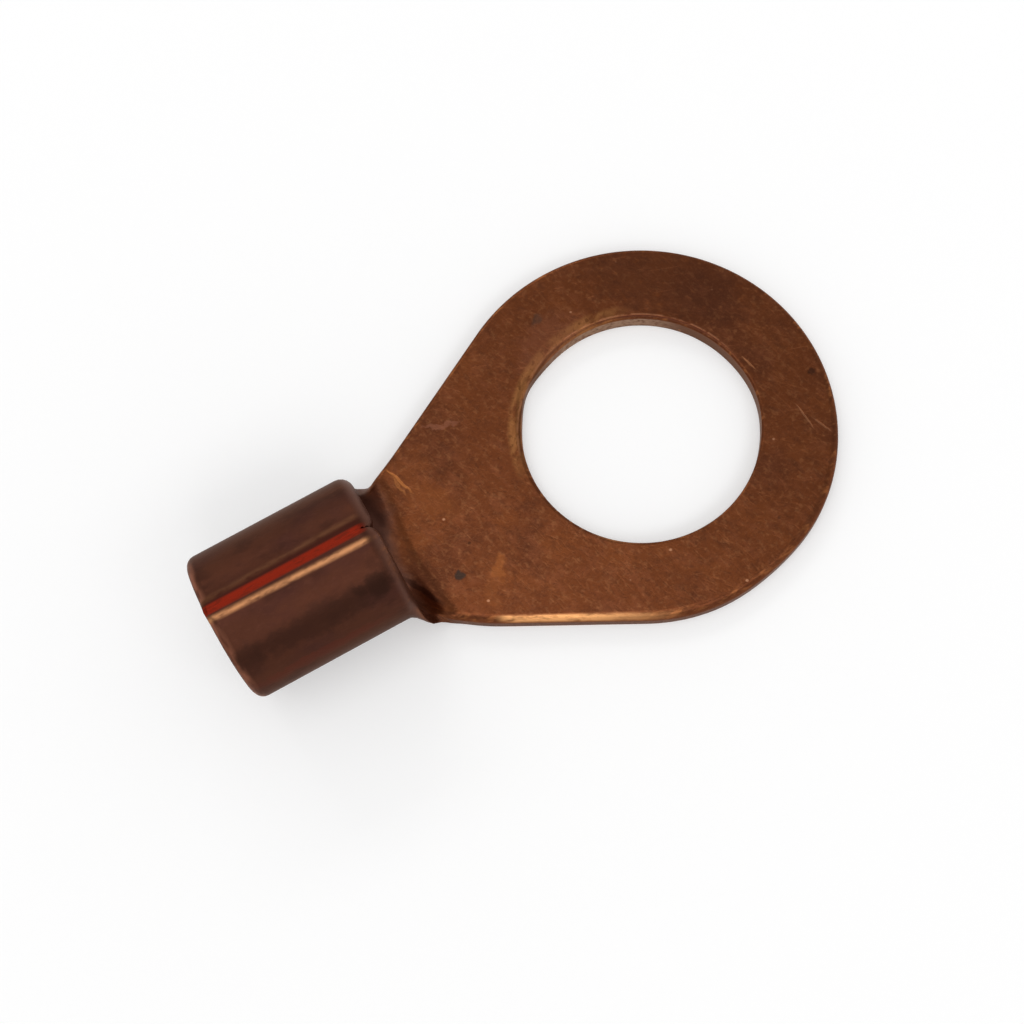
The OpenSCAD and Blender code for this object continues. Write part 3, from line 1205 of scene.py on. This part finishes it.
@dataclass(frozen=True)
class Lamp:
    """A flat soft lamp that faces the lug.

    Args:
        name: What it is.
        azimuth: Direction in which it stands, in degrees from +X.
        elevation: How high it stands, in degrees.
        distance: How far away it stands, in metres.
        width: Its width, in metres.
        height: Its height, in metres.
        radiance: How bright its face is, where 1 is white.
    """

    name: str
    azimuth: float
    elevation: float
    distance: float
    width: float
    height: float
    radiance: float

    def build(self, target: Vector) -> None:
        """Adds the lamp.

        Args:
            target: The point that it faces.
        """
        data = bpy.data.lights.new(self.name, "AREA")
        data.shape = "RECTANGLE"
        data.size, data.size_y = self.width, self.height
        data.energy = self.radiance * math.pi * self.width * self.height
        lamp = place_object(self.name, data)
        turn, tilt = math.radians(self.azimuth), math.radians(self.elevation)
        toward = Vector(
            (math.cos(turn) * math.cos(tilt), math.sin(turn) * math.cos(tilt), math.sin(tilt))
        )
        lamp.location = target + toward * self.distance
        lamp.rotation_euler = toward.to_track_quat("Z", "Y").to_euler()


@dataclass(frozen=True)
class Studio:
    """A pale floor, soft lamps and the camera."""

    # The point that the camera looks at and how far away it is, in millimetres. Its angles, in
    # degrees, are its way from +Y, how steeply it looks down and its turn about its own axis.
    target: tuple[float, float, float] = (-10.86, -0.526, 0.0)
    distance: float = 111.75
    azimuth: float = -18.58
    elevation: float = 72.89
    roll: float = -10.65
    lens: float = 55.0
    # The nearest and farthest that it sees, and the floor's side and drop, are in metres.
    clip: tuple[float, float] = (0.005, 20.0)
    floor_size: float = 4.0
    floor_drop: float = 0.00001
    floor_colour: str = "#dedede"
    board_roughness: float = 0.5
    floor_glow: float = 0.30
    # Strength of the room's light at the horizon and overhead, where 1 is white.
    horizon: float = 0.95
    zenith: float = 0.5
    lamps: tuple[Lamp, ...] = (
        Lamp("overhead_softbox", -165, 80, 0.7, 0.5, 0.5, 1.5),
        Lamp("near_strip", -84, 48, 0.6, 0.5, 0.18, 2.0),
        Lamp("back_strip", 83, 38, 0.6, 0.4, 0.10, 3.0),
    )

    def camera(self) -> bpy.types.Object:
        """Adds the camera, which looks down on the lug from its near side.

        Returns:
            The camera.
        """
        turn, tilt, roll = (math.radians(a) for a in (self.azimuth, self.elevation, self.roll))
        forward = Vector(
            (-math.sin(turn) * math.cos(tilt), math.cos(turn) * math.cos(tilt), -math.sin(tilt))
        )
        level = Vector((math.cos(turn), math.sin(turn), 0))
        upright = level.cross(forward)
        right = level * math.cos(roll) + upright * math.sin(roll)
        up = upright * math.cos(roll) - level * math.sin(roll)
        data = bpy.data.cameras.new("camera")
        data.lens = self.lens
        data.clip_start, data.clip_end = self.clip
        camera = place_object("camera", data)
        axes = Matrix((right, up, -forward)).transposed()
        camera.matrix_world = Matrix.LocRotScale(
            (Vector(self.target) - forward * self.distance) * MM, axes.to_quaternion(), None
        )
        bpy.context.scene.camera = camera
        return camera

    def floor(self) -> bpy.types.Object:
        """Lays the pale floor, which keeps the lug's shadow.

        Returns:
            The floor's object.
        """
        # It lies a hair below the lug's underside, so that the two faces never share a plane.
        half, level = self.floor_size / 2, -self.floor_drop
        mesh = bpy.data.meshes.new("floor")
        corners = ((-half, -half), (half, -half), (half, half), (-half, half))
        mesh.from_pydata([(x, y, level) for x, y in corners], [], [(0, 1, 2, 3)])
        # Matt card, pressed from paper pulp: it scatters light evenly and has no gloss.
        made = bpy.data.materials.new("matt_white_board")
        tree = cleared_tree(made)
        board = add_node(
            tree,
            "ShaderNodeBsdfDiffuse",
            {"Color": linear(self.floor_colour), "Roughness": self.board_roughness},
        )
        # What the camera and the metal see of the board is a little brighter than its light.
        term: dict[str, Any] = dict(add_node(tree, "ShaderNodeLightPath").outputs.items())
        rows = (
            ("mirrored", "MAXIMUM", "Is Glossy Ray", "Is Transmission Ray"),
            ("seen", "MAXIMUM", "Is Camera Ray", "mirrored"),
            ("glow", "MULTIPLY", "seen", self.floor_glow),
        )
        add_terms(tree, term, rows)
        glow = add_node(
            tree, "ShaderNodeEmission", {"Color": linear("#ffffff"), "Strength": term["glow"]}
        )
        both = add_node(tree, "ShaderNodeAddShader", {0: board, 1: glow})
        add_node(tree, "ShaderNodeOutputMaterial", {"Surface": both})
        mesh.materials.append(made)
        floor = place_object("floor", mesh)
        return floor

    def world(self) -> None:
        """Gives the room its even light, white at the horizon and duller overhead."""
        world = bpy.data.worlds.new("studio")
        bpy.context.scene.world = world
        tree = cleared_tree(world)
        way = add_node(
            tree, "ShaderNodeSeparateXYZ", {0: add_node(tree, "ShaderNodeTexCoord").outputs[0]}
        )
        level = add_node(
            tree,
            "ShaderNodeMapRange",
            {0: way.outputs["Z"], 1: 0.0, 2: 1.0, 3: self.horizon, 4: self.zenith},
            interpolation_type="SMOOTHSTEP",
        )
        sky = add_node(
            tree, "ShaderNodeBackground", {"Color": linear("#ffffff"), "Strength": level}
        )
        add_node(tree, "ShaderNodeOutputWorld", {"Surface": sky})

    def build(self) -> None:
        """Sets up the whole studio."""
        self.camera()
        self.floor()
        self.world()
        for lamp in self.lamps:
            lamp.build(Vector(self.target) * MM)
        bpy.context.scene.view_settings.view_transform = "Standard"
        LOG.info("studio: camera, floor and %d lamps", len(self.lamps))


def main() -> None:
    """Builds the lug and the studio."""
    logging.basicConfig(level=logging.INFO, format="%(name)s: %(message)s")
    Studio().build()
    CableLug(Blank(), RollingTool(), AgedCopper()).build()
    LOG.info("sizes written")


if __name__ == "__main__":
    main()
